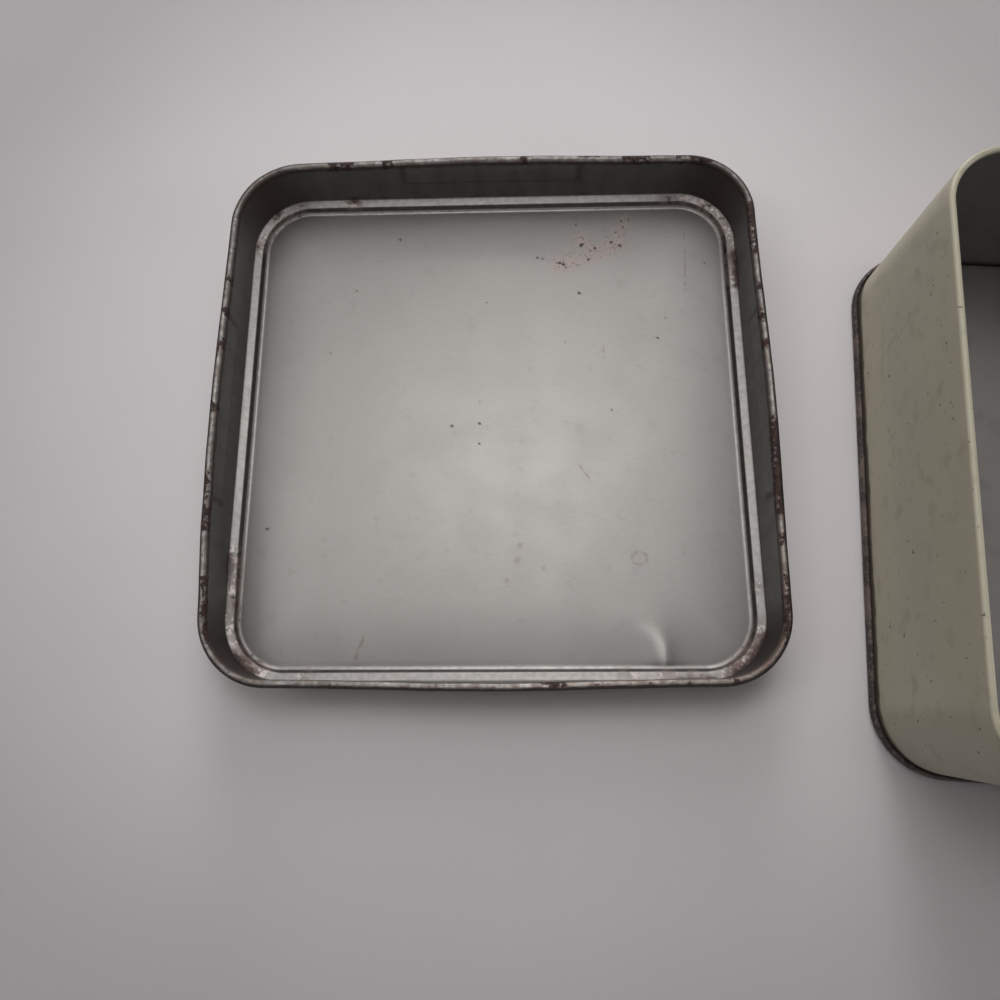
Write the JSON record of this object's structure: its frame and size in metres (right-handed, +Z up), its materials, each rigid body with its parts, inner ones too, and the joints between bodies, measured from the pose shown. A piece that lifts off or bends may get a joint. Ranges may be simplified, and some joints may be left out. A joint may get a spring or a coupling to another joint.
{
  "type": "cracker tin",
  "caption": "Square slip-lid tin of pressed tinplate with rounded corners, opened: the shallow panelled lid lies open side up beside the deeper, seamed base.",
  "frame": {"origin": "on the table, under the middle of the box round both halves", "axes": "+Z up, +X from the lid towards the base, along the base's front side, +Y to the back; the base's sides are along X and Y"},
  "size_m": [0.4368, 0.2222, 0.07],
  "materials": {
    "tinplate": "bare tinplate inside, dull and scratched, with rust along the rim and ledge; plain cream enamel outside",
    "cream_paint": "plain cream enamel outside, bare tinplate inside, rust at the foot",
    "floor_tinplate": "bare tinplate, rusty at the seam"
  },
  "bodies": {
    "base": {"base_wall": "cream_paint", "base_floor": "floor_tinplate"},
    "lid": {"lid": "tinplate"}
  },
  "joints": [
    {"name": "lid_lift", "type": "slide", "parent": "base", "child": "lid", "axis": [0, 0, 1], "range_m": [0, 0.12]}
  ]
}
